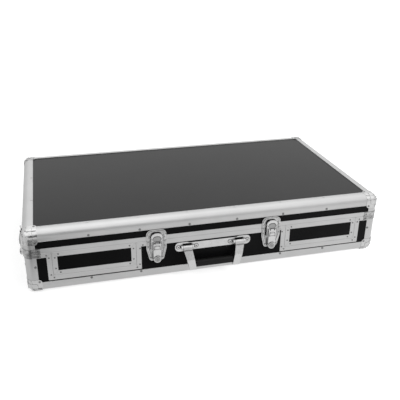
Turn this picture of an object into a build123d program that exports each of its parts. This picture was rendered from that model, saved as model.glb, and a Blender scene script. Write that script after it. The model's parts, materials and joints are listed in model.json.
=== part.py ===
"""A carrying case for two players and a mixer: black laminated boards held in aluminium profiles,
a hinged lid, two lift-out front panels, four lockable draw latches and a drop handle.

Millimetres, +Z up, +X to the right, the front towards -Y.
The origin is at the middle of the footprint, hardware included, on the surface that the case stands on.
"""
import os
from math import cos, radians, sin

from build123d import *

# Outside of the aluminium profiles
case_width = 1000
case_depth = 569
case_height = 178

# Boards and the extruded edge profile
board = 9
sheet = 1.5
profile_leg = 30
profile_round = 20
profile_lip = 28
fit_gap = 0.2

# How far a cutting shape runs past the piece that it cuts
cut_over = 30

# Rims that meet at the parting line, and the frames round the front openings
lid_strip = 19.7
rim_leg = 13.3
rim_inner_leg = 11.3
rim_web = 1.2
parting_gap = 0.3
tongue_height = 4
tongue_thick = 3
groove_depth = 5
groove_clearance = 0.8
seam_chamfer = 0.5
mitre_gap = 0.2

# Front openings: the inner seam from the middle of the case, the outer seam from its side,
# and the strip of board that is left above the bottom profile
opening_inner_x = 213.2
opening_side_margin = 68.2
opening_sill = 2.8

# Pressed corners and rim brackets
cap_sheet = 1.2
cap_reach = 38
cap_ear_round = 9
bracket_reach = 41
bracket_height = 12.4
bracket_round = 5

# Inside
foam_floor = 10
foam_lid = 15
divider_board = 9
divider_x = 163
divider_height = 70
cable_bay_depth = 110
divider_round = 8
cable_slot_width = 70
cable_slot_depth = 24

# Draw latches: places, then the shape of one, measured out from the wall and up from the parting line
latch_left_x = -158.5
latch_right_x = 168
side_latch_back = 120
latch_width = 55
latch_plate = 1.5
latch_gap = 0.6
keeper_top = 32.6
keeper_round = 15
latch_rib = 1.2
latch_rib_width = 3
latch_rib_inset = 3.5
rib_start = 2
base_plate_waist = 24
base_plate_bottom = 60
base_plate_foot = 38
plate_foot_round = 9
hook_width = 16
hook_low = 3
hook_high = 15
hook_out = 5.7
hook_root = 3.2
hook_lip = 4
lever_width = 21
lever_sheet = 1.5
lever_back = 3
lever_face = 13.5
lever_head = 6
lever_head_fall = 1
lever_shoulder_down = 5
lever_facet_fall = 1
lever_foot = 21.5
lever_pivot_out = 8.5
lever_pivot_down = 6
latch_pin_radius = 1.2
running_gap = 0.08
ear_sheet = 1.5
ear_out_x = 7
ear_radius = 2.3
ear_slot_gap = 0.6
ear_slot_down = 4.2
loop_pivot_out = 7.7
loop_pivot_down = 22
loop_thick = 3
loop_half_width = 15.5
loop_inner_half = 11.5
loop_top = 24.5
loop_inner_top = 16.5
loop_foot = 4
loop_flat = 2.7
stub_inside = 1.5
lock_down = 51
lock_boss_radius = 9.5
lock_boss_face = 15
lock_radius = 7
lock_face = 16.5
lock_edge = 0.6
lock_cam_thick = 1
lock_cam_reach = 8
lock_cam_width = 4
cam_gap = 0.1
key_slot_length = 5
key_slot_width = 1.4
key_slot_depth = 2

# Drop handle, down from the top of the case and out from the front board
handle_plate_length = 215
handle_plate_height = 27
handle_bar_height = 22
handle_tab_length = 44
handle_tab_round = 12
handle_plate_sheet = 2
handle_down = 92.2
handle_axis_out = 7
handle_pin_radius = 2.5
handle_knuckle_radius = 5.3
handle_knuckle_x = 74
handle_knuckle_width = 24
carrier_radius = 4.8
carrier_width = 5
handle_side_gap = 0.5
handle_arm_sheet = 2.5
arm_foot_x = 61
arm_foot_width = 19
arm_foot_below = 6
arm_back_half = 5
arm_edge_round = 1.5
grip_out = 16.5
grip_down = 48
grip_deep = 16
grip_tall = 20
grip_round = 7
grip_half_length = 52
grip_tenon = 12
tenon_inset = 2.5

# Stop hinges at the back
hinge_x = 300
hinge_width = 70
hinge_leaf = 30
hinge_sheet = 2
hinge_leaf_round = 5
hinge_knuckle_radius = 5.5
hinge_pin_radius = 2.5
hinge_middle = 24
hinge_side_gap = 0.4
hinge_relief = 6.5
hinge_open = 105
stop_tail = 9
stop_gap = 0.25

# Levels and faces that follow from the sizes above
base_bottom = cap_sheet
case_top = base_bottom + case_height
lid_rim_edge = case_top - profile_leg - lid_strip
parting = lid_rim_edge - rim_leg - parting_gap / 2
lid_seat = parting + parting_gap / 2
base_seat = parting - parting_gap / 2
base_rim_edge = base_seat - rim_leg
opening_bottom = base_bottom + profile_leg + opening_sill + rim_leg

stop_offset = hinge_knuckle_radius - hinge_sheet - stop_gap
stop_swing = radians(hinge_open)
stop_reach = hinge_knuckle_radius + stop_tail * sin(stop_swing) - stop_offset * cos(stop_swing)
front_reach = grip_out + grip_deep / 2 - sheet
half_width = case_width / 2
opening_outer_x = half_width - opening_side_margin
front_y = front_reach - (front_reach + case_depth + stop_reach) / 2
rear_y = front_y + case_depth
middle_y = (front_y + rear_y) / 2
hinge_axis_y = rear_y + hinge_knuckle_radius
handle_axis_z = case_top - handle_down

inner_leg_out = sheet + board
frame_thick = inner_leg_out + sheet
tongue_middle = frame_thick / 2

mid_width_plane = Plane.YZ
mid_depth_plane = Plane(origin=(0, middle_y, 0), x_dir=(1, 0, 0), z_dir=(0, 1, 0))
front_face = Plane(origin=(0, front_y, 0), x_dir=(1, 0, 0), z_dir=(0, -1, 0))

os.makedirs("parts", exist_ok=True)


def save(builder, name):
    """Label a finished piece and write its file."""
    builder.part.label = name
    export_step(builder.part, f"parts/{name}.step")


# Boards: each sits in the slots of the profiles round it

web = profile_round + fit_gap


def flat_board(name, low, high):
    """A laminated board between two opposite corners."""
    with BuildPart() as piece:
        with BuildSketch(Plane.XY.offset(low[2])):
            with Locations(((low[0] + high[0]) / 2, (low[1] + high[1]) / 2)):
                Rectangle(high[0] - low[0], high[1] - low[1])
        extrude(amount=high[2] - low[2])
    save(piece, name)


panel_x = half_width - web
lid_board_low = lid_seat + groove_depth + rim_web + fit_gap
lid_board_high = case_top - web
base_board_low = base_bottom + web
base_board_high = base_seat - rim_web - fit_gap

flat_board("lid_top_panel", (-panel_x, front_y + web, case_top - sheet - board),
           (panel_x, rear_y - web, case_top - sheet))
flat_board("base_bottom_panel", (-panel_x, front_y + web, base_bottom + sheet),
           (panel_x, rear_y - web, base_bottom + sheet + board))

for part_name, low_z, high_z in (("lid", lid_board_low, lid_board_high),
                                 ("base", base_board_low, base_board_high)):
    flat_board(f"{part_name}_rear_wall", (-panel_x, rear_y - inner_leg_out, low_z),
               (panel_x, rear_y - sheet, high_z))
    flat_board(f"{part_name}_left_wall", (-half_width + sheet, front_y + web, low_z),
               (-half_width + inner_leg_out, rear_y - web, high_z))
    flat_board(f"{part_name}_right_wall", (half_width - inner_leg_out, front_y + web, low_z),
               (half_width - sheet, rear_y - web, high_z))

flat_board("lid_front_wall", (-panel_x, front_y + sheet, lid_board_low),
           (panel_x, front_y + inner_leg_out, lid_board_high))

opening_middle = (opening_inner_x + opening_outer_x) / 2
opening_width = opening_outer_x - opening_inner_x
cut_edge = rim_web + fit_gap
with BuildPart() as base_front_wall:
    with BuildSketch(front_face.offset(-sheet)):
        with Locations((0, (base_board_low + base_board_high) / 2)):
            Rectangle(2 * panel_x, base_board_high - base_board_low)
        notch_low = opening_bottom - cut_edge
        with Locations(*[(side * opening_middle, (notch_low + base_seat) / 2) for side in (-1, 1)]):
            Rectangle(opening_width + 2 * cut_edge, base_seat - notch_low, mode=Mode.SUBTRACT)
    extrude(amount=-board)
save(base_front_wall, "base_front_wall")


# Edge profile: a round outer skin, a hollow chamber, and a slot for each of the two boards

def profile_section():
    """Section of the edge profile, its sharp outer corner at the origin and both boards inwards."""
    inner = inner_leg_out
    inside = frame_thick
    chamber = profile_round - sheet
    meet = profile_round - (chamber ** 2 - sheet ** 2) ** 0.5
    with BuildSketch() as section:
        with BuildLine():
            Line((0, profile_leg), (0, profile_round))
            CenterArc((profile_round, profile_round), profile_round, 180, 90)
            Line((profile_round, 0), (profile_leg, 0))
            Polyline((profile_leg, 0), (profile_leg, sheet), (profile_round, sheet), (profile_round, inner),
                     (profile_lip, inner), (profile_lip, inside), (inside, inside), (inside, profile_lip),
                     (inner, profile_lip), (inner, profile_round), (sheet, profile_round),
                     (sheet, profile_leg), (0, profile_leg))
        make_face()
        with BuildLine():
            Polyline((meet, chamber), (inner, chamber), (inner, inner), (chamber, inner), (chamber, meet))
            ThreePointArc((chamber, meet), (profile_round - chamber * sin(radians(45)),) * 2,
                          (meet, chamber))
        make_face(mode=Mode.SUBTRACT)
    return section.sketch


def edge_bar(middle, half_length, along, inward_a, inward_b, cut_ends=(-1, 1)):
    """One profile along an edge of the case, cut back where three profiles meet at a corner."""
    along, inward_a, inward_b = Vector(*along), Vector(*inward_a), Vector(*inward_b)
    middle = Vector(*middle)
    section_plane = Plane(origin=middle, x_dir=inward_a, z_dir=inward_a.cross(inward_b))
    with BuildPart() as bar:
        with BuildSketch(section_plane):
            add(profile_section())
        extrude(amount=half_length, both=True)
        for end in cut_ends:
            inwards = along * -end
            corner = middle - inwards * half_length
            split(bisect_by=Plane(origin=corner + inwards * profile_round, z_dir=inwards), keep=Keep.TOP)
            for side in (inward_a, inward_b):
                split(bisect_by=Plane(origin=corner, z_dir=inwards - side), keep=Keep.TOP)
    return bar


for part_name, level, inward_z in (("lid", case_top, -1), ("base", base_bottom, 1)):
    for edge_name, middle, half_length, along, inward in (
            ("front", (0, front_y, level), half_width, (1, 0, 0), (0, 1, 0)),
            ("rear", (0, rear_y, level), half_width, (1, 0, 0), (0, -1, 0)),
            ("left", (-half_width, middle_y, level), case_depth / 2, (0, 1, 0), (1, 0, 0)),
            ("right", (half_width, middle_y, level), case_depth / 2, (0, 1, 0), (-1, 0, 0))):
        save(edge_bar(middle, half_length, along, inward, (0, 0, inward_z)), f"{part_name}_{edge_name}_edge")

for part_name, low_z, high_z, cut_end in (("lid", lid_rim_edge, case_top, 1),
                                          ("base", base_bottom, base_rim_edge, -1)):
    post = edge_bar((-half_width, front_y, (low_z + high_z) / 2), (high_z - low_z) / 2,
                    (0, 0, 1), (1, 0, 0), (0, 1, 0), cut_ends=(cut_end,))
    with BuildPart() as posts:
        add(post.part)
        mirror(about=mid_width_plane)
        mirror(about=mid_depth_plane)
    save(posts, f"{part_name}_corner_posts")


# Rims: a channel on the board's edge, with a groove in the lid and a tongue on the base

def ring(low, high, out, inside, mode=Mode.ADD):
    """A band that follows the rounded outline of the case, between two depths from its outer face."""
    with BuildSketch(Plane.XY.offset(low)) as band:
        with Locations((0, middle_y)):
            RectangleRounded(case_width - 2 * out, case_depth - 2 * out, profile_round - out)
            RectangleRounded(case_width - 2 * inside, case_depth - 2 * inside, profile_round - inside,
                             mode=Mode.SUBTRACT)
    extrude(band.sketch, amount=high - low, mode=mode)


def corner_mitres(low, high):
    """Cut the thin mitre joints at the four corners of the plan."""
    with BuildSketch(Plane.XY.offset(low)) as slits:
        for x_side in (-1, 1):
            for y_side in (-1, 1):
                with Locations(Location((x_side * half_width, middle_y + y_side * case_depth / 2, 0),
                                        (0, 0, 45 * x_side * y_side))):
                    Rectangle(2 * cut_over, mitre_gap)
    extrude(slits.sketch, amount=high - low, mode=Mode.SUBTRACT)


tongue_out = tongue_middle - tongue_thick / 2
tongue_in = tongue_middle + tongue_thick / 2
groove_out = tongue_out - groove_clearance
groove_in = tongue_in + groove_clearance

with BuildPart() as lid_rim:
    ring(lid_seat, lid_rim_edge, 0, sheet)
    ring(lid_seat, lid_seat + rim_inner_leg, inner_leg_out, frame_thick)
    ring(lid_seat, lid_seat + rim_web, 0, groove_out)
    ring(lid_seat, lid_seat + rim_web, groove_in, frame_thick)
    ring(lid_seat, lid_seat + groove_depth + rim_web, groove_out - rim_web, groove_in + rim_web)
    ring(lid_seat, lid_seat + groove_depth, groove_out, groove_in, mode=Mode.SUBTRACT)
    outer_corner = lid_rim.faces().filter_by(Axis.Z).sort_by(Axis.Z)[0].outer_wire().edges()
    chamfer(outer_corner, seam_chamfer)
    corner_mitres(lid_seat, lid_rim_edge)
save(lid_rim, "lid_rim")


def opening_cut():
    """Clear the front rim where the two front openings are, along the slope of their mitres."""
    for side in (-1, 1):
        with BuildSketch(front_face) as gap:
            Polygon((side * opening_inner_x, base_seat + cut_over),
                    (side * opening_outer_x, base_seat + cut_over),
                    (side * opening_outer_x, base_seat),
                    (side * (opening_outer_x + cut_over), base_seat - cut_over),
                    (side * (opening_inner_x - cut_over), base_seat - cut_over),
                    (side * opening_inner_x, base_seat), align=None)
        extrude(gap.sketch, amount=-frame_thick, mode=Mode.SUBTRACT)


with BuildPart() as base_rim:
    ring(base_rim_edge, base_seat, 0, sheet)
    ring(base_seat - rim_inner_leg, base_seat, inner_leg_out, frame_thick)
    ring(base_seat - rim_web, base_seat, 0, frame_thick)
    outer_corner = base_rim.faces().filter_by(Axis.Z).sort_by(Axis.Z)[-1].outer_wire().edges()
    chamfer(outer_corner, seam_chamfer)
    ring(base_seat, base_seat + tongue_height, tongue_out, tongue_in)
    opening_cut()
    corner_mitres(base_rim_edge, base_seat + tongue_height)
save(base_rim, "base_rim")


# Opening frames: the rim turns down, across and up again round each front opening

def front_rectangle(box, grow=0):
    """A rectangle on the front of the case, let out on every side."""
    low_x, high_x, low_z, high_z = box
    with BuildSketch() as area:
        with Locations(((low_x + high_x) / 2, (low_z + high_z) / 2)):
            Rectangle(high_x - low_x + 2 * grow, high_z - low_z + 2 * grow)
    return area.sketch


def front_band(box, grow_out, grow_in, low_depth, high_depth, mode=Mode.ADD):
    """A rectangular band round an opening, between two depths behind the front of the case."""
    with BuildSketch(front_face.offset(-low_depth)) as band:
        add(front_rectangle(box, grow_out))
        add(front_rectangle(box, grow_in), mode=Mode.SUBTRACT)
    extrude(band.sketch, amount=low_depth - high_depth, mode=mode)


def mitre_slits(corners):
    """Cut thin mitre joints through a frame, each given by its corner and its slope."""
    with BuildSketch(front_face) as slits:
        for x, z, slope in corners:
            with Locations(Location((x, z, 0), (0, 0, slope))):
                Rectangle(2 * cut_over, mitre_gap)
    extrude(slits.sketch, amount=-cut_over, mode=Mode.SUBTRACT)


def opening_sides(side):
    """The two seams of the left or right opening, from the lower x to the higher."""
    return sorted((side * opening_inner_x, side * opening_outer_x))


def opening_frame(side):
    """The fixed channel on three sides of an opening, its tongue towards the opening."""
    low_x, high_x = opening_sides(side)
    box = (low_x, high_x, opening_bottom, base_seat + 2 * cut_over)
    with BuildPart() as frame:
        front_band(box, rim_leg, 0, 0, sheet)
        front_band(box, rim_inner_leg, 0, inner_leg_out, frame_thick)
        front_band(box, rim_web, 0, 0, frame_thick)
        seam_edges = frame.faces().filter_by(Axis.Y).sort_by(Axis.Y)[0].inner_wires()[0].edges()
        chamfer(seam_edges, seam_chamfer)
        front_band(box, 0, -tongue_height, tongue_out, tongue_in)
        with BuildSketch(front_face) as kept:
            Polygon((low_x, base_seat - mitre_gap),
                    (low_x - cut_over, base_seat - mitre_gap - cut_over),
                    (low_x - cut_over, opening_bottom - cut_over),
                    (high_x + cut_over, opening_bottom - cut_over),
                    (high_x + cut_over, base_seat - mitre_gap - cut_over),
                    (high_x, base_seat - mitre_gap), align=None)
        extrude(kept.sketch, amount=-cut_over, mode=Mode.INTERSECT)
        mitre_slits(((low_x, opening_bottom, 45), (high_x, opening_bottom, -45)))
    return frame


left_opening_frame = opening_frame(-1)
right_opening_frame = opening_frame(1)
with BuildPart() as opening_frames:
    add(left_opening_frame.part)
    add(right_opening_frame.part)
save(opening_frames, "opening_frames")


# Front panels: a board in a mitred frame that drops over the tongues of an opening

def panel_box(side):
    """The outline of a front panel, a seam's width inside its opening."""
    low_x, high_x = opening_sides(side)
    return (low_x + parting_gap, high_x - parting_gap, opening_bottom + parting_gap, base_seat)


def panel_frame(side):
    """Four mitred bars: grooved at the sides and foot, and with the rim's tongue along the top."""
    box = panel_box(side)
    low_x, high_x, low_z, high_z = box
    open_box = (low_x, high_x, low_z, high_z + cut_over)
    with BuildPart() as frame:
        front_band(box, 0, -rim_leg, 0, sheet)
        front_band(box, 0, -rim_inner_leg, inner_leg_out, frame_thick)
        front_band(box, 0, -rim_web, 0, frame_thick)
        outline = frame.faces().filter_by(Axis.Y).sort_by(Axis.Y)[0].outer_wire().edges()
        chamfer(outline, seam_chamfer)
        front_band(open_box, 0, -groove_depth - rim_web, groove_out - rim_web, groove_in + rim_web)
        front_band(open_box, fit_gap, -groove_depth, groove_out, groove_in, mode=Mode.SUBTRACT)
        with BuildSketch(front_face) as kept:
            add(front_rectangle(box))
        extrude(kept.sketch, amount=-cut_over, mode=Mode.INTERSECT)
        with BuildSketch(front_face.offset(-tongue_out)) as tongue:
            with Locations(((low_x + high_x) / 2, high_z + tongue_height / 2)):
                Rectangle(high_x - low_x - 2 * groove_depth - 2 * fit_gap, tongue_height)
        extrude(tongue.sketch, amount=-tongue_thick)
        mitre_slits(((low_x, low_z, 45), (high_x, low_z, -45), (low_x, high_z, -45), (high_x, high_z, 45)))
    return frame


for side, side_name in ((-1, "left"), (1, "right")):
    low_x, high_x, low_z, high_z = panel_box(side)
    save(panel_frame(side), f"{side_name}_panel_frame")
    board_inset = groove_depth + rim_web + fit_gap
    flat_board(f"{side_name}_panel_board", (low_x + board_inset, front_y + sheet, low_z + board_inset),
               (high_x - board_inset, front_y + inner_leg_out, high_z - rim_web - fit_gap))


# Pressed ball corners, one on each corner of the case

def corner_block(level, inward_z, out, reach):
    """A block in the front left corner of the case, its three outer edges rounded into a ball."""
    corner = Vector(-half_width - out, front_y - out, level - inward_z * out)
    with BuildPart() as block:
        with BuildSketch(Plane.XY.offset(corner.Z)):
            with Locations((corner.X, corner.Y)):
                Rectangle(reach + out, reach + out, align=Align.MIN)
        extrude(amount=inward_z * (reach + out))
        fillet(block.edges().sort_by_distance(corner)[:3], profile_round + out)
    return block.part


for part_name, level, inward_z in (("lid", case_top, -1), ("base", base_bottom, 1)):
    with BuildPart() as cap:
        add(corner_block(level, inward_z, cap_sheet, cap_reach))
        add(corner_block(level, inward_z, 0, cap_reach + cap_sheet), mode=Mode.SUBTRACT)
        ear_edges = [edge for edge in cap.edges() if abs(edge.length - cap_sheet) < fit_gap / 2]
        fillet(ear_edges, cap_ear_round)
    with BuildPart() as corner_caps:
        add(cap.part)
        mirror(about=mid_width_plane)
        mirror(about=mid_depth_plane)
    save(corner_caps, f"{part_name}_corner_caps")

for part_name, low_z, high_z, free_edge in (("lid", lid_seat, lid_seat + bracket_height, -1),
                                            ("base", base_seat - bracket_height, base_seat, 0)):
    with BuildPart() as rim_brackets:
        with BuildSketch(Plane.XY.offset(low_z)) as corners:
            with Locations((0, middle_y)):
                RectangleRounded(case_width + 2 * cap_sheet, case_depth + 2 * cap_sheet,
                                 profile_round + cap_sheet)
                RectangleRounded(case_width, case_depth, profile_round, mode=Mode.SUBTRACT)
                Rectangle(case_width - 2 * bracket_reach, 2 * case_depth, mode=Mode.SUBTRACT)
                Rectangle(2 * case_width, case_depth - 2 * bracket_reach, mode=Mode.SUBTRACT)
        extrude(amount=high_z - low_z)
        free_corners = [edge for edge in rim_brackets.edges().group_by(Axis.Z)[free_edge]
                        if abs(edge.length - cap_sheet) < fit_gap / 2]
        fillet(free_corners, bracket_round)
    save(rim_brackets, f"{part_name}_rim_brackets")


# Inside: foam on the floor and under the lid, two dividers and the board of the cable bay

floor_z = base_bottom + inner_leg_out
cable_bay_y = rear_y - cable_bay_depth
lip_clear = profile_lip + fit_gap
wall_clear = frame_thick + fit_gap
bay_edges = (-half_width + lip_clear, -divider_x - divider_board / 2 - fit_gap,
             -divider_x + divider_board / 2 + fit_gap)

with BuildPart() as base_lining:
    with BuildSketch(Plane.XY.offset(floor_z)):
        pad_low_y, pad_high_y = front_y + lip_clear, cable_bay_y - fit_gap
        for pad_low_x, pad_high_x in ((bay_edges[0], bay_edges[1]), (bay_edges[2], -bay_edges[2]),
                                      (-bay_edges[1], -bay_edges[0])):
            with Locations(((pad_low_x + pad_high_x) / 2, (pad_low_y + pad_high_y) / 2)):
                Rectangle(pad_high_x - pad_low_x, pad_high_y - pad_low_y)
    extrude(amount=foam_floor)
save(base_lining, "base_lining")

with BuildPart() as lid_lining:
    with BuildSketch(Plane.XY.offset(case_top - inner_leg_out)):
        with Locations((0, middle_y)):
            Rectangle(case_width - 2 * lip_clear, case_depth - 2 * lip_clear)
    extrude(amount=-foam_lid)
save(lid_lining, "lid_lining")

with BuildPart() as bay_dividers:
    with BuildSketch(Plane.YZ.offset(-divider_x - divider_board / 2)) as divider:
        Polygon((front_y + lip_clear, floor_z), (cable_bay_y, floor_z),
                (cable_bay_y, floor_z + divider_height),
                (front_y + wall_clear, floor_z + divider_height),
                (front_y + wall_clear, floor_z + wall_clear),
                (front_y + lip_clear, floor_z + wall_clear), align=None)
        fillet(divider.vertices().sort_by_distance((front_y + wall_clear, floor_z + divider_height))[0],
               divider_round)
    extrude(amount=divider_board)
    mirror(about=mid_width_plane)
save(bay_dividers, "bay_dividers")

cable_board_plane = Plane(origin=(0, cable_bay_y, floor_z), x_dir=(1, 0, 0), z_dir=(0, -1, 0))
with BuildPart() as cable_bay_board:
    with BuildSketch(cable_board_plane) as board_area:
        with Locations((0, divider_height / 2)):
            Rectangle(2 * (half_width - wall_clear), divider_height)
        with Locations(*[(side * (half_width - lip_clear / 2), 0) for side in (-1, 1)]):
            Rectangle(lip_clear, 2 * wall_clear, mode=Mode.SUBTRACT)
        with Locations(*[(side * opening_middle, divider_height) for side in (-1, 0, 1)]):
            Rectangle(cable_slot_width, 2 * cable_slot_depth, mode=Mode.SUBTRACT)
        slot_corners = [vertex for vertex in board_area.vertices()
                        if abs(vertex.Y - divider_height + cable_slot_depth) < fit_gap]
        fillet(slot_corners, divider_round)
    extrude(amount=-divider_board)
save(cable_bay_board, "cable_bay_board")


# Draw latches: each is drawn on its own seat, a plane on the wall with the parting line as its level

def side_view(seat):
    """The plane that shows a seat from the side: outwards from the wall, and upwards."""
    return Plane(origin=seat.origin, x_dir=seat.z_dir, z_dir=-seat.x_dir)


def keeper_outline(inset):
    """The keeper's rounded arch, drawn in by an inset at its sides and top."""
    low = latch_gap
    high = keeper_top - inset
    with BuildSketch() as outline:
        with Locations((0, (low + high) / 2)):
            Rectangle(latch_width - 2 * inset, high - low)
        fillet(outline.vertices().group_by(Axis.Y)[-1], keeper_round - inset)
    return outline.sketch


def plate_outline(inset):
    """The base plate's outline: straight to its waist, then narrowing to a rounded foot."""
    half = latch_width / 2 - inset
    foot = base_plate_foot / 2 - inset
    low = -base_plate_bottom + inset
    with BuildSketch() as outline:
        Polygon((-half, -latch_gap), (-half, -base_plate_waist), (-foot, low), (foot, low),
                (half, -base_plate_waist), (half, -latch_gap), align=None)
        fillet(outline.vertices().group_by(Axis.Y)[0], plate_foot_round - inset)
    return outline.sketch


def latch_keeper(seat):
    """The plate on the lid, with a raised rib and the hook that the loop is drawn down over."""
    with BuildPart() as keeper:
        with BuildSketch(seat) as plate:
            add(keeper_outline(0))
        extrude(plate.sketch, amount=latch_plate)
        with BuildSketch(seat.offset(latch_plate)) as rib:
            add(keeper_outline(latch_rib_inset))
            add(keeper_outline(latch_rib_inset + latch_rib_width), mode=Mode.SUBTRACT)
        extrude(rib.sketch, amount=latch_rib)
        with BuildSketch(side_view(seat)) as hook:
            Polygon((0, hook_low), (hook_root, hook_low), (hook_out, hook_high - hook_lip),
                    (hook_out, hook_high), (0, hook_high), align=None)
        extrude(hook.sketch, amount=hook_width / 2, both=True)
    return keeper.part


def latch_plate_below(seat):
    """The plate on the base, with a raised rib and two ears that carry the lever's pin."""
    with BuildPart() as lower:
        with BuildSketch(seat) as plate:
            add(plate_outline(0))
        extrude(plate.sketch, amount=latch_plate)
        with BuildSketch(seat.offset(latch_plate)) as rib:
            add(plate_outline(latch_rib_inset))
            add(plate_outline(latch_rib_inset + latch_rib_width), mode=Mode.SUBTRACT)
            with Locations((0, -latch_gap)):
                Rectangle(latch_width, 2 * rib_start, mode=Mode.SUBTRACT)
            Rectangle(lever_width + 2 * lever_sheet, 2 * base_plate_bottom, mode=Mode.SUBTRACT)
        extrude(rib.sketch, amount=latch_rib)
        with BuildSketch(side_view(seat)) as ear:
            with Locations((lever_pivot_out / 2, -lever_pivot_down)):
                Rectangle(lever_pivot_out, 2 * ear_radius)
            with Locations((lever_pivot_out, -lever_pivot_down)):
                Circle(ear_radius)
                Circle(latch_pin_radius, mode=Mode.SUBTRACT)
        extrude(ear.sketch, amount=ear_out_x, both=True)
        with BuildSketch(seat.offset(latch_plate)) as between:
            with Locations((0, -lever_pivot_down)):
                Rectangle(2 * (ear_out_x - ear_sheet), 2 * (ear_radius + fit_gap))
        extrude(between.sketch, amount=cut_over, mode=Mode.SUBTRACT)
    return lower.part


def latch_pin(seat):
    """The pin that the lever turns on, from cheek to cheek."""
    with BuildPart() as pin:
        with BuildSketch(side_view(seat)) as section:
            with Locations((lever_pivot_out, -lever_pivot_down)):
                Circle(latch_pin_radius)
        extrude(section.sketch, amount=lever_width / 2, both=True)
    return pin.part


def lever_profile(inset):
    """The lever from the side: a rounded head round its pivot, a flat face and a tapered foot."""
    low = -lock_down - lever_width / 2
    with BuildSketch() as profile:
        Polygon((lever_back, -lever_pivot_down - lever_back),
                (lever_pivot_out - lever_head / 2, -latch_gap - lever_head_fall),
                (lever_pivot_out + lever_head / 2, -latch_gap),
                (lever_face, -lever_shoulder_down), (lever_face, -base_plate_waist),
                (lever_face - lever_facet_fall, low + lever_foot),
                (lever_face - 2 * lever_facet_fall, low), (lever_back, low), align=None)
        if inset:
            offset(amount=-inset, kind=Kind.INTERSECTION, mode=Mode.REPLACE)
            with Locations((0, (low - latch_gap) / 2)):
                Rectangle(2 * lever_pivot_out, -low - latch_gap - 2 * inset)
    return profile.sketch


def lever_outline(inset):
    """The lever from the front: parallel sides and a round nose about the lock."""
    half = lever_width / 2
    with BuildSketch() as outline:
        with Locations((0, -lock_down / 2)):
            Rectangle(lever_width - 2 * inset, lock_down)
        with Locations((0, -lock_down)):
            Circle(half - inset)
    return outline.sketch


def lever_body(seat, inset):
    """A solid lever, or with an inset the hollow in its back."""
    with BuildPart() as body:
        with BuildSketch(side_view(seat)) as profile:
            add(lever_profile(inset))
        extrude(profile.sketch, amount=lever_width / 2, both=True)
        with BuildSketch(seat) as outline:
            add(lever_outline(inset))
        extrude(outline.sketch, amount=cut_over, mode=Mode.INTERSECT)
    return body.part


def latch_lever(seat):
    """The channel-shaped lever, with the boss of its lock and the holes of its pin and its loop."""
    hollow = lever_body(seat, lever_sheet)
    with BuildPart() as lever:
        add(lever_body(seat, 0))
        add(hollow, mode=Mode.SUBTRACT)
        with BuildSketch(seat.offset(lever_back)) as boss:
            with Locations((0, -lock_down)):
                Circle(lock_boss_radius)
        extrude(boss.sketch, amount=lock_boss_face - lever_back)
        with BuildSketch(seat) as bore:
            with Locations((0, -lock_down)):
                Circle(lock_radius + running_gap)
        extrude(bore.sketch, amount=cut_over, mode=Mode.SUBTRACT)
        with BuildSketch(side_view(seat)) as holes:
            with Locations((lever_pivot_out, -lever_pivot_down), (loop_pivot_out, -loop_pivot_down)):
                Circle(latch_pin_radius + running_gap)
        extrude(holes.sketch, amount=lever_width, both=True, mode=Mode.SUBTRACT)
        with BuildSketch(seat) as ear_slots:
            slot_middle = ear_out_x - ear_sheet / 2
            with Locations(*[(side * slot_middle, 0) for side in (-1, 1)]):
                Rectangle(ear_sheet + 2 * ear_slot_gap, 2 * ear_slot_down)
        extrude(ear_slots.sketch, amount=cut_over, mode=Mode.SUBTRACT)
    return lever


def arch_outline(half, top):
    """An arch with straight sides, from the foot of the loop to a rounded top."""
    foot = -loop_pivot_down - loop_foot
    with BuildSketch() as outline:
        with Locations((0, (top + foot) / 2)):
            Rectangle(2 * half, top - foot)
        fillet(outline.vertices().group_by(Axis.Y)[-1], half - loop_flat)
    return outline.sketch


def latch_loop(seat):
    """The flat arched loop, hung in the lever's cheeks by two stubs."""
    stub_from = lever_width / 2 - lever_sheet - stub_inside
    stub_to = (loop_inner_half + loop_half_width) / 2
    with BuildPart() as loop:
        with BuildSketch(seat.offset(loop_pivot_out - loop_thick / 2)) as arch:
            add(arch_outline(loop_half_width, loop_top))
            add(arch_outline(loop_inner_half, loop_inner_top), mode=Mode.SUBTRACT)
        extrude(arch.sketch, amount=loop_thick)
        for side in (-1, 1):
            start = Plane(origin=seat.origin + seat.x_dir * side * stub_from,
                          x_dir=seat.z_dir, z_dir=seat.x_dir * side)
            with BuildSketch(start) as stub:
                with Locations((loop_pivot_out, loop_pivot_down * side)):
                    Circle(latch_pin_radius)
            extrude(stub.sketch, amount=stub_to - stub_from)
    return loop


def latch_lock(seat):
    """The key lock: a barrel with a key slot in its face and a cam across its back."""
    with BuildPart() as lock:
        back = lever_back - cam_gap - lock_cam_thick
        with BuildSketch(seat.offset(back)) as barrel:
            with Locations((0, -lock_down)):
                Circle(lock_radius)
        extrude(barrel.sketch, amount=lock_face - back)
        fillet(lock.faces().sort_by(Axis(seat.origin, seat.z_dir))[-1].edges(), lock_edge)
        with BuildSketch(seat.offset(back)) as cam:
            with Locations((0, -lock_down + lock_cam_reach / 2)):
                SlotOverall(lock_cam_reach, lock_cam_width, rotation=90)
        extrude(cam.sketch, amount=lock_cam_thick)
        with BuildSketch(seat.offset(lock_face)) as key_slot:
            with Locations((0, -lock_down)):
                SlotOverall(key_slot_length, key_slot_width, rotation=90)
        extrude(key_slot.sketch, amount=-key_slot_depth, mode=Mode.SUBTRACT)
    return lock


def front_seat(x, z):
    """A seat on the front wall."""
    return Plane(origin=(x, front_y, z), x_dir=(1, 0, 0), z_dir=(0, -1, 0))


side_latch_y = front_y + side_latch_back
seats = {
    "front_left": front_seat(latch_left_x, parting),
    "front_right": front_seat(latch_right_x, parting),
    "left_side": Plane(origin=(-half_width, side_latch_y, parting), x_dir=(0, -1, 0), z_dir=(-1, 0, 0)),
    "right_side": Plane(origin=(half_width, side_latch_y, parting), x_dir=(0, 1, 0), z_dir=(1, 0, 0)),
}

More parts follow.
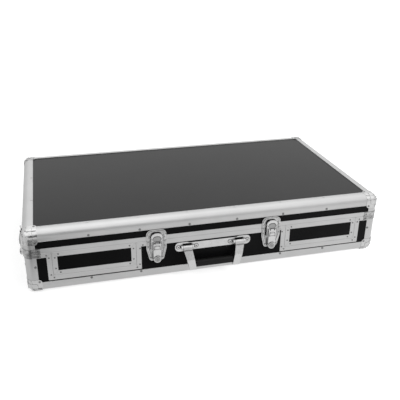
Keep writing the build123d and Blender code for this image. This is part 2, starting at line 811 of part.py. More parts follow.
for group_name, make in (("latch_keepers", latch_keeper), ("latch_plates", latch_plate_below),
                         ("latch_lever_pins", latch_pin)):
    pieces = [make(seat) for seat in seats.values()]
    with BuildPart() as group:
        for piece in pieces:
            add(piece)
    save(group, group_name)

for latch_name, seat in seats.items():
    save(latch_lever(seat), f"{latch_name}_lever")
    save(latch_loop(seat), f"{latch_name}_loop")
    save(latch_lock(seat), f"{latch_name}_lock")


# Drop handle: a plate with two hinge knuckles, two bent arms and a grip between them

handle_seat = front_seat(0, handle_axis_z).offset(-sheet)
handle_side = side_view(handle_seat)
knuckle_centres = [side * handle_knuckle_x for side in (-1, 1)]
carrier_inner = handle_knuckle_width / 2 + handle_side_gap

with BuildPart() as handle_plate:
    with BuildSketch(handle_seat) as plate:
        Rectangle(handle_plate_length - handle_plate_height, handle_bar_height)
        with Locations(*[(side * (handle_plate_length - handle_tab_length) / 2, 0) for side in (-1, 1)]):
            RectangleRounded(handle_tab_length, handle_plate_height, handle_tab_round)
        with Locations(*[(x, 0) for x in knuckle_centres]):
            Rectangle(2 * carrier_inner, 2 * handle_knuckle_radius + 2 * handle_side_gap, mode=Mode.SUBTRACT)
    extrude(plate.sketch, amount=handle_plate_sheet)
    for x in knuckle_centres:
        for side in (-1, 1):
            carrier_plane = Plane(origin=handle_seat.origin + Vector(x + side * carrier_inner, 0, 0),
                                  x_dir=(0, -1, 0), z_dir=(side, 0, 0))
            with BuildSketch(carrier_plane) as carrier:
                with Locations((handle_axis_out / 2, 0)):
                    Rectangle(handle_axis_out, 2 * carrier_radius)
                with Locations((handle_axis_out, 0)):
                    Circle(carrier_radius)
                    Circle(handle_pin_radius, mode=Mode.SUBTRACT)
            extrude(carrier.sketch, amount=carrier_width)
save(handle_plate, "handle_plate")

with BuildPart() as handle_pins:
    with BuildSketch(handle_side.offset(-handle_knuckle_x)) as pin_section:
        with Locations((handle_axis_out, 0)):
            Circle(handle_pin_radius)
    extrude(pin_section.sketch, amount=carrier_inner + carrier_width, both=True)
    mirror(about=mid_width_plane)
save(handle_pins, "handle_pins")


def grip_section(inset):
    """The rounded section of the grip, seen from the side of the case."""
    with BuildSketch() as section:
        with Locations((grip_out, -grip_down)):
            RectangleRounded(grip_deep - 2 * inset, grip_tall - 2 * inset, grip_round - inset)
    return section.sketch


grip_face = grip_out + grip_deep / 2
grip_back = grip_out - grip_deep / 2
arm_foot_down = grip_down + grip_tall / 2 + arm_foot_below
strap_high = -grip_down + grip_tall / 2 + arm_foot_below
with BuildPart() as handle_arms:
    with BuildSketch(handle_side.offset(-handle_knuckle_x)) as arm_profile:
        knuckle_front = handle_axis_out + handle_knuckle_radius
        with BuildLine():
            Polyline((knuckle_front, 0), (grip_face, strap_high), (grip_face, -arm_foot_down),
                     (grip_out, -arm_foot_down), (grip_back, -grip_down - arm_back_half),
                     (grip_back, -grip_down + arm_back_half),
                     (grip_out, -grip_down + grip_tall / 2 + tenon_inset),
                     (grip_face - handle_arm_sheet, strap_high), (knuckle_front - handle_arm_sheet, 0),
                     (knuckle_front, 0))
        make_face()
        fillet([vertex for vertex in arm_profile.vertices() if vertex.Y < -arm_foot_below], arm_edge_round)
        with Locations((handle_axis_out, 0)):
            Circle(handle_knuckle_radius)
            Circle(handle_pin_radius + running_gap, mode=Mode.SUBTRACT)
        add(grip_section(tenon_inset - fit_gap), mode=Mode.SUBTRACT)
    extrude(arm_profile.sketch, amount=handle_knuckle_x, both=True)
    with BuildSketch(handle_seat) as arm_outline:
        knuckle_inner = handle_knuckle_x - handle_knuckle_width / 2
        knuckle_outer = handle_knuckle_x + handle_knuckle_width / 2
        Polygon((knuckle_inner, handle_knuckle_radius), (knuckle_outer, handle_knuckle_radius),
                (knuckle_outer, -handle_knuckle_radius), (arm_foot_x + arm_foot_width / 2, -arm_foot_down),
                (arm_foot_x - arm_foot_width / 2, -arm_foot_down), (knuckle_inner, -handle_knuckle_radius),
                align=None)
    extrude(arm_outline.sketch, amount=cut_over, mode=Mode.INTERSECT)
    mirror(about=mid_width_plane)
save(handle_arms, "handle_arms")

with BuildPart() as handle_grip:
    with BuildSketch(handle_side) as grip_area:
        add(grip_section(0))
    extrude(grip_area.sketch, amount=grip_half_length, both=True)
    with BuildSketch(handle_side) as tenon_area:
        add(grip_section(tenon_inset))
    extrude(tenon_area.sketch, amount=grip_half_length + grip_tenon, both=True)
save(handle_grip, "handle_grip")


# Stop hinges: the lid's middle knuckle carries a tail that meets the base leaf when the lid is open

def hinge_seat(x):
    """A seat on the rear wall at the parting line."""
    return Plane(origin=(x, rear_y, parting), x_dir=(-1, 0, 0), z_dir=(0, 1, 0))


middle_half = hinge_middle / 2 - hinge_side_gap / 2
outer_half = (hinge_width - hinge_middle - hinge_side_gap) / 4
outer_middle = hinge_width / 2 - outer_half
middle_knuckle = [(0, middle_half)]
outer_knuckles = [(side * outer_middle, outer_half) for side in (-1, 1)]


def hinge_half(seat, up, knuckles, reliefs, bore):
    """One leaf of a hinge with its knuckles, up for the lid or down for the base."""
    with BuildPart() as half:
        with BuildSketch(seat) as leaf:
            with Locations((0, up * (latch_gap + hinge_leaf) / 2)):
                Rectangle(hinge_width, hinge_leaf - latch_gap)
            fillet(leaf.vertices().group_by(Axis.Y)[-1 if up > 0 else 0], hinge_leaf_round)
            for x, half_length in reliefs:
                with Locations((x, 0)):
                    Rectangle(2 * (half_length + hinge_side_gap), 2 * hinge_relief, mode=Mode.SUBTRACT)
        extrude(leaf.sketch, amount=hinge_sheet)
        for x, half_length in knuckles:
            with BuildSketch(side_view(seat).offset(-x)) as knuckle:
                with Locations((hinge_knuckle_radius, 0)):
                    Circle(hinge_knuckle_radius)
                with Locations((hinge_sheet / 2, up * hinge_knuckle_radius / 2)):
                    Rectangle(hinge_sheet, hinge_knuckle_radius)
                if up > 0:
                    with Locations(Location((hinge_knuckle_radius, 0, 0), (0, 0, hinge_open))):
                        Polygon((-stop_offset, -stop_tail), (hinge_sheet - stop_offset, -stop_tail),
                                (hinge_sheet - stop_offset, 0), (-stop_offset, 0), align=None)
                with Locations((hinge_knuckle_radius, 0)):
                    Circle(bore, mode=Mode.SUBTRACT)
            extrude(knuckle.sketch, amount=half_length, both=True)
    return half.part


hinge_seats = [hinge_seat(side * hinge_x) for side in (-1, 1)]
for leaf_name, up, knuckles, reliefs, bore in (
        ("lid_hinge_leaves", 1, middle_knuckle, outer_knuckles, hinge_pin_radius + running_gap),
        ("base_hinge_leaves", -1, outer_knuckles, middle_knuckle, hinge_pin_radius)):
    halves = [hinge_half(seat, up, knuckles, reliefs, bore) for seat in hinge_seats]
    with BuildPart() as leaves:
        for half in halves:
            add(half)
    save(leaves, leaf_name)

with BuildPart() as hinge_pins:
    for seat in hinge_seats:
        with BuildSketch(side_view(seat)) as hinge_pin:
            with Locations((hinge_knuckle_radius, 0)):
                Circle(hinge_pin_radius)
        extrude(hinge_pin.sketch, amount=hinge_width / 2, both=True)
save(hinge_pins, "hinge_pins")
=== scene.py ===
# %% [markdown]
# # A carrying case for two players and a mixer
# The case is made of black laminated boards held in aluminium profiles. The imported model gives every
# board, profile, corner, latch and handle at its real size. This lesson dresses that model: it gives each
# surface its finish, adds the small fasteners and pressed details, and lights the whole for a picture.

import json
from math import cos, pi, radians, sin

import bmesh
import bpy
from mathutils import Matrix, Vector


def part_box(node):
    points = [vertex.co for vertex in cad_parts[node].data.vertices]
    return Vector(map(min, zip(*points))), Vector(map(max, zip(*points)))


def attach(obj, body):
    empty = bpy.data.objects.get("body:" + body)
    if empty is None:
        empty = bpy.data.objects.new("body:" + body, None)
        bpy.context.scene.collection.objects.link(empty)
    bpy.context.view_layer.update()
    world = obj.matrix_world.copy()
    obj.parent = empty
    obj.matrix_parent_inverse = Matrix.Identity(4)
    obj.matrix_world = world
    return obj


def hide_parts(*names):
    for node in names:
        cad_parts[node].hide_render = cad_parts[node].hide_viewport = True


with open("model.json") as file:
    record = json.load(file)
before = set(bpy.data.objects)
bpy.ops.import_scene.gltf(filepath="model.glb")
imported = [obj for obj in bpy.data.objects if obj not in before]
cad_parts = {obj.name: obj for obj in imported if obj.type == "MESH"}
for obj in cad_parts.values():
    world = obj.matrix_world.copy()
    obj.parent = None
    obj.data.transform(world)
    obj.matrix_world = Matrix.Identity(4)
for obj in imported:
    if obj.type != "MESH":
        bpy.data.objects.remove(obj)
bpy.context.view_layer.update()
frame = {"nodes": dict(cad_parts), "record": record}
nodes = frame["nodes"]
bpy.ops.object.select_all(action="DESELECT")

# %% [markdown]
# The case stands on its four lower corners at height zero. A few levels are read once from the packed
# pieces, because rivets and pressed details are placed from them. The lid meets the base in the middle of
# the small gap between their rim brackets, and the latches and hinges are placed from that line.

# %% Read the levels of the case
mm = 0.001
front_low, front_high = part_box("lid_front_edge")
front_y = front_low.y
top_z = front_high.z
rear_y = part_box("lid_rear_edge")[1].y
left_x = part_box("lid_left_edge")[0].x
right_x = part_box("lid_right_edge")[1].x
bottom_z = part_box("base_front_edge")[0].z
middle_y = (front_y + rear_y) / 2
parting_z = (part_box("lid_rim_brackets")[0].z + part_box("base_rim_brackets")[1].z) / 2
latches = ("front_left", "front_right", "left_side", "right_side")
print("front", round(front_y, 4), "rear", round(rear_y, 4))
print("top", round(top_z, 4), "parting", round(parting_z, 5))

# %% [markdown]
# ## The camera
# The photograph was taken from above the left front corner. Its viewing direction, its distance and its
# small roll were worked out from the straight edges of the case, so the render lines up with it.

# %% Place the camera
view_azimuth = -0.2638
view_elevation = 0.427
view_roll = -0.0112
view_place = Vector((-0.3986, front_y - 1.3314, top_z + 0.6698))
lens_pixels = 573.09
image_pixels = 400
sensor = 36

forward = Vector((-sin(view_azimuth) * cos(view_elevation), cos(view_azimuth) * cos(view_elevation),
                  -sin(view_elevation)))
level_right = Vector((cos(view_azimuth), sin(view_azimuth), 0))
level_down = forward.cross(level_right)
view_right = cos(view_roll) * level_right + sin(view_roll) * level_down
view_down = -sin(view_roll) * level_right + cos(view_roll) * level_down

camera_data = bpy.data.cameras.new("camera")
camera = bpy.data.objects.new("camera", camera_data)
bpy.context.scene.collection.objects.link(camera)
camera_data.sensor_width = sensor
camera_data.lens = lens_pixels / image_pixels * sensor
camera_data.clip_end = 50
turn = Matrix((view_right, -view_down, -forward)).transposed()
camera.matrix_world = Matrix.Translation(view_place) @ turn.to_4x4()
bpy.context.scene.camera = camera
print("lens", round(camera_data.lens, 2), "mm")

# %% [markdown]
# ## Materials
# Every finish is built from a pattern in object coordinates, so that it stays on its piece from every
# side. A helper starts a material and hands back its node tree and shader. The others add what most
# finishes share: a stretched noise, and a range that turns its grey into a useful number. Most of a
# noise lies between two greys, and a colour changes over a narrower stretch of it. Both are named here.

# %% Material helpers
noise_low, noise_high = 0.3, 0.7
cloud_low, cloud_high = 0.35, 0.65


def start_material(name):
    """A new node material with its main shader."""
    material = bpy.data.materials.new(name)
    material.use_nodes = True
    shader = material.node_tree.nodes["Principled BSDF"]
    return material, material.node_tree, shader


def add_noise(tree, scale, detail, roughness=0.5, stretch=(1, 1, 1)):
    """Noise on object coordinates, which may be stretched by a different amount along each axis."""
    place = tree.nodes.new("ShaderNodeTexCoord")
    mapping = tree.nodes.new("ShaderNodeMapping")
    mapping.inputs["Scale"].default_value = stretch
    noise = tree.nodes.new("ShaderNodeTexNoise")
    noise.inputs["Scale"].default_value = scale
    noise.inputs["Detail"].default_value = detail
    noise.inputs["Roughness"].default_value = roughness
    tree.links.new(place.outputs["Object"], mapping.inputs["Vector"])
    tree.links.new(mapping.outputs["Vector"], noise.inputs["Vector"])
    return noise.outputs["Fac"]


def add_range(tree, value, low, high, out_low, out_high):
    """Map a value from one range to another."""
    ranged = tree.nodes.new("ShaderNodeMapRange")
    ranged.inputs["From Min"].default_value = low
    ranged.inputs["From Max"].default_value = high
    ranged.inputs["To Min"].default_value = out_low
    ranged.inputs["To Max"].default_value = out_high
    tree.links.new(value, ranged.inputs["Value"])
    return ranged.outputs["Result"]


def add_ramp(tree, value, stops):
    """Colours along a value, as a list of places and greys or colours."""
    ramp = tree.nodes.new("ShaderNodeValToRGB")
    while len(ramp.color_ramp.elements) < len(stops):
        ramp.color_ramp.elements.new(0.5)
    for element, (place, colour) in zip(ramp.color_ramp.elements, stops):
        element.position = place
        element.color = (*colour, 1)
    tree.links.new(value, ramp.inputs["Fac"])
    return ramp.outputs["Color"]


def add_bump(tree, shader, height, strength, distance, before=None):
    """Give a shader a bump, after an earlier one if there is one."""
    bump = tree.nodes.new("ShaderNodeBump")
    bump.inputs["Strength"].default_value = strength
    bump.inputs["Distance"].default_value = distance
    tree.links.new(height, bump.inputs["Height"])
    if before is not None:
        tree.links.new(before, bump.inputs["Normal"])
    tree.links.new(bump.outputs["Normal"], shader.inputs["Normal"])
    return bump.outputs["Normal"]


def vary_roughness(tree, shader, noise, low, high):
    """Let a noise move the roughness between two values."""
    tree.links.new(add_range(tree, noise, noise_low, noise_high, low, high), shader.inputs["Roughness"])


def add_product(tree, first, second):
    """Multiply one value by another."""
    product = tree.nodes.new("ShaderNodeMath")
    product.operation = "MULTIPLY"
    tree.links.new(first, product.inputs[0])
    tree.links.new(second, product.inputs[1])
    return product.outputs["Value"]


def grey(value):
    """A neutral colour."""
    return (value, value, value)


print("material helpers ready")

# %% [markdown]
# The boards are plywood faced with a smooth black laminate. It is almost black from the front and turns
# grey where it is seen at a low angle, because it then mirrors the bright room. A dark specular tint
# keeps the front dark and leaves the low angles bright. A fine pebble and a faint waviness keep the
# gloss from looking like glass.

# %% Black laminate


def make_laminate():
    """Black laminate with a fine pebble."""
    material, tree, shader = start_material("black_laminate")
    cloud = add_noise(tree, scale=7, detail=4)
    darkest, lightest = (0.0024, 0.0024, 0.0025), (0.0044, 0.0044, 0.0046)
    colour = add_ramp(tree, cloud, [(noise_low, darkest), (noise_high, lightest)])
    tree.links.new(colour, shader.inputs["Base Color"])
    pebble = add_noise(tree, scale=1400, detail=2)
    wave = add_noise(tree, scale=22, detail=2)
    vary_roughness(tree, shader, pebble, low=0.24, high=0.34)
    shader.inputs["IOR"].default_value = 1.45
    shader.inputs["Specular Tint"].default_value = (*grey(0.06), 1)
    first = add_bump(tree, shader, pebble, strength=0.08, distance=0.0002)
    add_bump(tree, shader, wave, strength=0.03, distance=0.002, before=first)
    return material


laminate = make_laminate()
print("laminate ready")

# %% [markdown]
# Aluminium profiles come out of a die, so fine lines run along them, and the anodised skin is satin. The
# same finish is made four times, with the noise stretched another way: for bars that run across, back or
# up, and level for the rims and frames, whose bars run more than one way.

# %% Anodised aluminium
drawn_out = 0.006
spread_out = 0.02
line_stretch = {"x": (drawn_out, 1, 1), "y": (1, drawn_out, 1), "z": (1, 1, drawn_out),
                "level": (spread_out, spread_out, 1)}


def make_aluminium(direction):
    """Satin aluminium whose lines run one way."""
    material, tree, shader = start_material(f"anodised_aluminium_{direction}")
    stretch = line_stretch[direction]
    lines = add_noise(tree, scale=900, detail=4, roughness=0.6, stretch=stretch)
    broad = add_noise(tree, scale=120, detail=2, stretch=stretch)
    cloud = add_noise(tree, scale=14, detail=3)
    colour = add_ramp(tree, cloud, [(noise_low, grey(0.62)), (noise_high, grey(0.665))])
    tree.links.new(colour, shader.inputs["Base Color"])
    shader.inputs["Metallic"].default_value = 1.0
    vary_roughness(tree, shader, broad, low=0.33, high=0.43)
    add_bump(tree, shader, lines, strength=0.06, distance=0.0002)
    return material


aluminium = {direction: make_aluminium(direction) for direction in line_stretch}
print("aluminium in", len(aluminium), "directions")

# %% [markdown]
# The pressed corners, latches and handle are plated steel. Bright plating is nearly a mirror, with small
# clouds in its gloss and a ripple where the sheet was drawn over its punch. Shade is painted into the
# colour wherever another surface stands close by, so creases and corners are painted darker. The handle
# and the hinges are plated too but duller, and the rivets are darker than what they hold.

# %% Plated steel
painted_shade_reach = 6 * mm
painted_shade_darkest = 0.12
painted_shade_closed, painted_shade_open = 0.4, 0.92


def make_plated(name, shade, gloss, ripple, mottle=0.93):
    """Plated sheet steel, from bright to satin, with painted shade in its creases."""
    material, tree, shader = start_material(name)
    cloud = add_noise(tree, scale=60, detail=3)
    colour = add_ramp(tree, cloud, [(cloud_low, grey(shade * mottle)), (cloud_high, grey(shade))])
    # Ambient occlusion darkens the colour near other surfaces: painted shade in creases and corners.
    open_sky = tree.nodes.new("ShaderNodeAmbientOcclusion")
    open_sky.samples = 6
    open_sky.inputs["Distance"].default_value = painted_shade_reach
    painted_shade_factor = add_range(tree, open_sky.outputs["AO"], painted_shade_closed, painted_shade_open, painted_shade_darkest, 1.0)
    shaded = tree.nodes.new("ShaderNodeVectorMath")
    shaded.operation = "SCALE"
    tree.links.new(colour, shaded.inputs[0])
    tree.links.new(painted_shade_factor, shaded.inputs["Scale"])
    tree.links.new(shaded.outputs["Vector"], shader.inputs["Base Color"])
    shader.inputs["Metallic"].default_value = 1.0
    smear = add_noise(tree, scale=220, detail=3)
    vary_roughness(tree, shader, smear, *gloss)
    wave = add_noise(tree, scale=140, detail=1)
    add_bump(tree, shader, wave, strength=ripple, distance=0.0006)
    return material


corner_plate = make_plated("bright_zinc_plate", shade=0.74, gloss=(0.16, 0.30), ripple=0.12)
bracket_plate = make_plated("mottled_zinc_plate", shade=0.64, gloss=(0.16, 0.30), ripple=0.3, mottle=0.42)
latch_plate = make_plated("nickel_plate", shade=0.80, gloss=(0.10, 0.20), ripple=0.08)
# The ground of a latch is duller, and painted darker than its own beads as painted shade.
latch_ground_painted_darker = make_plated("dull_nickel_plate_painted_darker", shade=0.72, gloss=(0.16, 0.28), ripple=0.12, mottle=0.75)
# Plating painted dark: the locks and the loop's web show a painted dark reflection with it.
painted_dark_plate = make_plated("nickel_plate_painted_dark", shade=0.42, gloss=(0.14, 0.24), ripple=0.12)
pin_plate = make_plated("pin_plate", shade=0.60, gloss=(0.18, 0.28), ripple=0.05)
handle_plate = make_plated("satin_zinc_plate", shade=0.78, gloss=(0.26, 0.36), ripple=0.06)
hinge_plate = make_plated("dull_zinc_plate", shade=0.60, gloss=(0.30, 0.42), ripple=0.08)
rivet_steel = make_plated("rivet_plate", shade=0.30, gloss=(0.22, 0.34), ripple=0.05)
print("nine plated finishes")

# %% [markdown]
# The grip is moulded black plastic with a fine leathery grain, and the lining is dense dark foam, which
# is all small cells and reflects almost nothing.

# %% Grip and foam


def make_grip():
    """Moulded black plastic with a fine grain."""
    material, tree, shader = start_material("moulded_grip")
    grain = add_noise(tree, scale=900, detail=3)
    colour = add_ramp(tree, grain, [(cloud_low, grey(0.004)), (cloud_high, grey(0.008))])
    tree.links.new(colour, shader.inputs["Base Color"])
    vary_roughness(tree, shader, grain, low=0.36, high=0.5)
    shader.inputs["Specular IOR Level"].default_value = 0.16
    add_bump(tree, shader, grain, strength=0.2, distance=0.0003)
    return material


def make_foam():
    """Dense foam with small open cells."""
    material, tree, shader = start_material("dark_foam")
    place = tree.nodes.new("ShaderNodeTexCoord")
    cells = tree.nodes.new("ShaderNodeTexVoronoi")
    cells.inputs["Scale"].default_value = 700
    tree.links.new(place.outputs["Object"], cells.inputs["Vector"])
    colour = add_ramp(tree, cells.outputs["Distance"], [(0.1, grey(0.012)), (0.6, grey(0.045))])
    tree.links.new(colour, shader.inputs["Base Color"])
    shader.inputs["Roughness"].default_value = 0.95
    shader.inputs["Specular IOR Level"].default_value = 0.15
    add_bump(tree, shader, cells.outputs["Distance"], strength=0.6, distance=0.0008)
    return material


grip_plastic = make_grip()
foam = make_foam()
print("grip and foam ready")

# %% [markdown]
# ## Finishes on the imported pieces
# The imported pieces keep their shapes. Each takes its finish by the slot that the record gives it, and an
# aluminium bar also by the way it runs. The rim brackets are more worn than their slot says. The ground of
# the latches is painted darker than its beads, and the locks darker still, as painted shade and dark
# reflection, so these have finishes of their own.

# %% Dress the imported pieces
slot_finish = {
    "laminate_board": laminate, "corner_metal": corner_plate, "latch_metal": latch_plate,
    "bright_pin": pin_plate, "handle_metal": handle_plate, "hinge_metal": hinge_plate,
    "grip": grip_plastic, "foam": foam,
}
own_finish = {
    "lid_rim_brackets": bracket_plate, "base_rim_brackets": bracket_plate,
    "latch_plates": latch_ground_painted_darker, "latch_keepers": latch_ground_painted_darker,
}
# The locks take the plating painted dark, for a painted dark reflection.
own_finish.update({f"{latch}_lock": painted_dark_plate for latch in latches})


def bar_direction(node):
    """The way that an aluminium bar's lines run."""
    if node.endswith(("front_edge", "rear_edge")):
        return "x"
    if node.endswith(("left_edge", "right_edge")):
        return "y"
    if node.endswith("corner_posts"):
        return "z"
    return "level"


for entry in frame["record"]["subparts"]:
    node, slot = entry["node"], entry["material_slot"]
    finish = aluminium[bar_direction(node)] if slot == "aluminium_profile" else slot_finish[slot]
    finish = own_finish.get(node, finish)
    piece = nodes[node]
    piece.data.materials.clear()
    piece.data.materials.append(finish)

# %% [markdown]
# ## Modelling the small parts
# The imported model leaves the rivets, the pressed beads and the foam's surface to this lesson. Each small
# part is drawn once, in millimetres at the origin, with X to the right, Y up and Z out of the surface
# that it will sit on. Copies are then carried to their seats, joined, and tied to the body they move with.

# %% Helpers for choosing and placing


def choose(kind, test):
    """In edit mode, select only the vertices, edges or faces that pass a test."""
    bpy.ops.mesh.select_mode(type=kind)
    bpy.ops.mesh.select_all(action="DESELECT")
    mesh = bmesh.from_edit_mesh(bpy.context.object.data)
    for element in {"VERT": mesh.verts, "EDGE": mesh.edges, "FACE": mesh.faces}[kind]:
        if test(element):
            element.select_set(True)
    bmesh.update_edit_mesh(bpy.context.object.data)


def seat(point, out):
    """A seat on a surface, from a point in metres: X to the right, Y up and Z out of the surface."""
    out = Vector(out)
    right = Vector((1, 0, 0)) if abs(out.z) > 0.5 else Vector((0, 0, 1)).cross(out)
    return Matrix.Translation(point) @ Matrix((right, out.cross(right), out)).transposed().to_4x4()


def copy_part(master, place):
    """A copy of a drawn part, carried to a place."""
    copy = master.copy()
    copy.data = master.data.copy()
    copy.data.transform(place)
    bpy.context.scene.collection.objects.link(copy)
    return copy


def place_copies(master, name, seats, body, angle=35):
    """Copy a drawn part to its seats, join the copies and let them ride on a body."""
    bpy.ops.object.select_all(action="DESELECT")
    copies = []
    for place in seats:
        copy = copy_part(master, place @ Matrix.Scale(mm, 4))
        if place.determinant() < 0:
            copy.data.flip_normals()
        copy.select_set(True)
        copies.append(copy)
    bpy.context.view_layer.objects.active = copies[0]
    if len(copies) > 1:
        bpy.ops.object.join()
    bpy.ops.object.shade_smooth_by_angle(angle=radians(angle))
    piece = bpy.context.object
    piece.name = name
    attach(piece, body)
    bpy.ops.object.select_all(action="DESELECT")
    return piece


def start_block(low, high):
    """A plain block between two corners, left in edit mode to be shaped."""
    low, high = Vector(low), Vector(high)
    bpy.ops.mesh.primitive_cube_add(size=1, location=(low + high) / 2, scale=high - low)
    bpy.ops.object.transform_apply()
    bpy.ops.object.mode_set(mode="EDIT")


def finish_part(finish):
    """Leave edit mode and give the drawn part its finish."""
    bpy.ops.object.mode_set(mode="OBJECT")
    part = bpy.context.object
    part.data.materials.append(finish)
    return part


def join_parts(parts):
    """Join several drawn parts into one."""
    bpy.ops.object.select_all(action="DESELECT")
    for part in parts:
        part.select_set(True)
    bpy.context.view_layer.objects.active = parts[0]
    bpy.ops.object.join()
    return bpy.context.object


def put_away(*masters):
    """Remove drawn parts that have been copied."""
    for master in masters:
        bpy.data.objects.remove(master)


print("helpers for the small parts ready")

# %% [markdown]
# ## Rivets
# Round rivets hold the profiles, corners and frames to the boards. A rivet starts as a short cylinder. Its
# top rim is bevelled into a dome, and the top is inset twice, the second time downwards, for the small
# hollow that the pulled pin leaves. The bevel is a share of the head's height, the insets of its radius.

# %% Draw the rivets
rim_bevel = 0.7
pan_inset, pin_inset = 0.35, 0.1


def draw_rivet(radius, height, hollow, finish):
    """A low domed head with a hollow in its middle."""
    bpy.ops.mesh.primitive_cylinder_add(vertices=18, radius=radius, depth=height, location=(0, 0, height / 2))
    bpy.ops.object.transform_apply()
    bpy.ops.object.mode_set(mode="EDIT")
    choose("EDGE", lambda edge: all(vertex.co.z > 0.9 * height for vertex in edge.verts))
    bpy.ops.mesh.bevel(offset=rim_bevel * height, segments=3)
    choose("FACE", lambda face: face.normal.z > 0.99 and face.calc_center_median().length < 1.2 * height)
    bpy.ops.mesh.inset(thickness=pan_inset * radius)
    bpy.ops.mesh.inset(thickness=pin_inset * radius, depth=-hollow)
    return finish_part(finish)


rivet = draw_rivet(radius=3.4, height=1.0, hollow=0.6, finish=rivet_steel)
small_rivet = draw_rivet(radius=2.3, height=0.8, hollow=0.5, finish=rivet_steel)
latch_rivet = draw_rivet(radius=2.8, height=1.2, hollow=0.8, finish=rivet_steel)
flat_rivet = draw_rivet(radius=3.4, height=1.0, hollow=0.6, finish=handle_plate)
print("rivet faces", len(rivet.data.polygons))

# %% [markdown]
# The rivets of a long profile stand at almost one pitch on both of its legs, and each corner post of the
# base has one on each leg. Positions along an edge are counted from its middle. A side is held as its
# place, the way it faces, and the way back towards the middle of the case.

# %% Rivets of the profiles
out_left, out_right, out_front, out_rear = (-1, 0, 0), (1, 0, 0), (0, -1, 0), (0, 1, 0)
out_up, out_down = (0, 0, 1), (0, 0, -1)
x_ends = ((left_x, 1), (right_x, -1))
y_ends = ((front_y, 1), (rear_y, -1))
wide_sides = ((front_y, out_front, 1), (rear_y, out_rear, -1))
deep_sides = ((left_x, out_left, 1), (right_x, out_right, -1))
halves = (("lid", top_z, -1, out_up), ("base", bottom_z, 1, out_down))
wide_places = (67, 202, 335)
deep_place = 85.5
across = [side * place * mm for side in (-1, 1) for place in wide_places]
backwards = [middle_y + side * deep_place * mm for side in (-1, 1)]
leg_line = 25.5 * mm
post_level = 77 * mm


def near_corners(inset, levels, rise=0):
    """Seats on the four sides: a distance in from each corner, at given levels, risen off the side."""
    seats = []
    for y, out, inward in wide_sides:
        seats += [seat((x + side * inset, y - inward * rise, level), out)
                  for x, side in x_ends for level in levels]
    for x, out, inward in deep_sides:
        seats += [seat((x - inward * rise, y + side * inset, level), out)
                  for y, side in y_ends for level in levels]
    return seats


for body, level, inwards, out_flat in halves:
    row = level + inwards * leg_line
    seats, flat_seats = [], []
    for y, out, inward in wide_sides:
        seats += [seat((x, y, row), out) for x in across]
        flat_seats += [seat((x, y + inward * leg_line, level), out_flat) for x in across]
    for x, out, inward in deep_sides:
        seats += [seat((x, y, row), out) for y in backwards]
        flat_seats += [seat((x + inward * leg_line, y, level), out_flat) for y in backwards]
    if body == "base":
        seats += near_corners(leg_line, [post_level])
    place_copies(rivet, f"{body}_profile_rivets", seats, body)
    place_copies(flat_rivet, f"{body}_flat_rivets", flat_seats, body)
    print(body, len(seats) + len(flat_seats), "rivets")
put_away(rivet, flat_rivet)

# %% [markdown]
# The frames round the two front openings are held by small rivets in pairs, one on each side of a mitre.
# The outer pairs belong to the base and the inner pairs to the panel, so they ride on different bodies.
# Their places are given for the left opening, in millimetres from the middle and the top of the front.

# %% Rivets of the opening frames
outer_pairs = ((-445, -71), (-439, -79), (-437.6, -129.7), (-430.3, -138.4),
               (-195.3, -72.7), (-203.2, -82.3), (-204.8, -130.8), (-212.2, -139))
inner_pairs = ((-424, -80), (-415, -70), (-424, -112), (-413, -124.5),
               (-230.6, -70), (-220.8, -80), (-220.8, -112), (-231, -124.5))


def front_seats(places, mirror):
    """Seats on the front for places on its left half, or on its right half where mirror is -1."""
    return [seat((mirror * x * mm, front_y, top_z + z * mm), out_front) for x, z in places]


place_copies(small_rivet, "frame_rivets", front_seats(outer_pairs, 1) + front_seats(outer_pairs, -1),
             "base")
for body, mirror in (("left_panel", 1), ("right_panel", -1)):
    place_copies(small_rivet, f"{body}_rivets", front_seats(inner_pairs, mirror), body)
print("rivets on both opening frames")

# %% [markdown]
# ## Beads
# A pressed bead is a rounded line that stiffens a sheet. It is drawn by extruding a small circle along
# each straight run and spinning it round each bend, so a list of corner points is all it needs.

# %% Draw a bead along a line of points
steps_per_radian = 5


def draw_bead(points, bend, radius, level, finish, closed=False, sides=8):
    """A round bead half sunk in a surface, along a flat line of points with rounded corners."""
    points = [Vector(point) for point in points]
    if closed:
        start = (points[0] + points[-1]) / 2
        points = [start, *points, start]
    runs = [after - before for before, after in zip(points, points[1:])]
    turns = [before.angle_signed(after) * -1 for before, after in zip(runs, runs[1:])]
    cuts = [0, *[bend * abs(sin(turn / 2) / cos(turn / 2)) for turn in turns], 0]
    place, heading = points[0].copy(), Vector((1, 0)).angle_signed(runs[0]) * -1
    bpy.ops.mesh.primitive_circle_add(vertices=sides, radius=radius, fill_type="NGON",
                                      location=(place.x, place.y, level),
                                      rotation=(pi / 2, 0, heading + pi / 2))
    bpy.ops.object.transform_apply()
    bpy.ops.object.mode_set(mode="EDIT")
    for number, run in enumerate(runs):
        step = run.normalized() * (run.length - cuts[number] - cuts[number + 1])
        bpy.ops.mesh.extrude_region_move(TRANSFORM_OT_translate={"value": (step.x, step.y, 0)})
        place += step
        if number < len(turns):
            turn = turns[number]
            side = 1 if turn > 0 else -1
            towards = Vector((-run.y, run.x)).normalized() * side * bend
            centre = place + towards
            bpy.ops.mesh.spin(steps=max(2, round(abs(turn) * steps_per_radian)), angle=turn,
                              center=(centre.x, centre.y, level), axis=(0, 0, 1))
            place = centre + Matrix.Rotation(turn, 2) @ -towards
    bpy.ops.mesh.select_all(action="SELECT")
    bpy.ops.mesh.normals_make_consistent(inside=False)
    return finish_part(finish)


def draw_straight_bead(start, end, radius, finish, sides=8):
    """A bead along X from one place to another, with its middle at the surface."""
    return draw_bead([(start, 0), (end, 0)], bend=0, radius=radius, level=0, finish=finish, sides=sides)


print("beads ready")

# %% [markdown]
# Each leg of an edge profile ends in a thin rolled lip, which catches the light as a fine line. It stops
# where the corners begin.

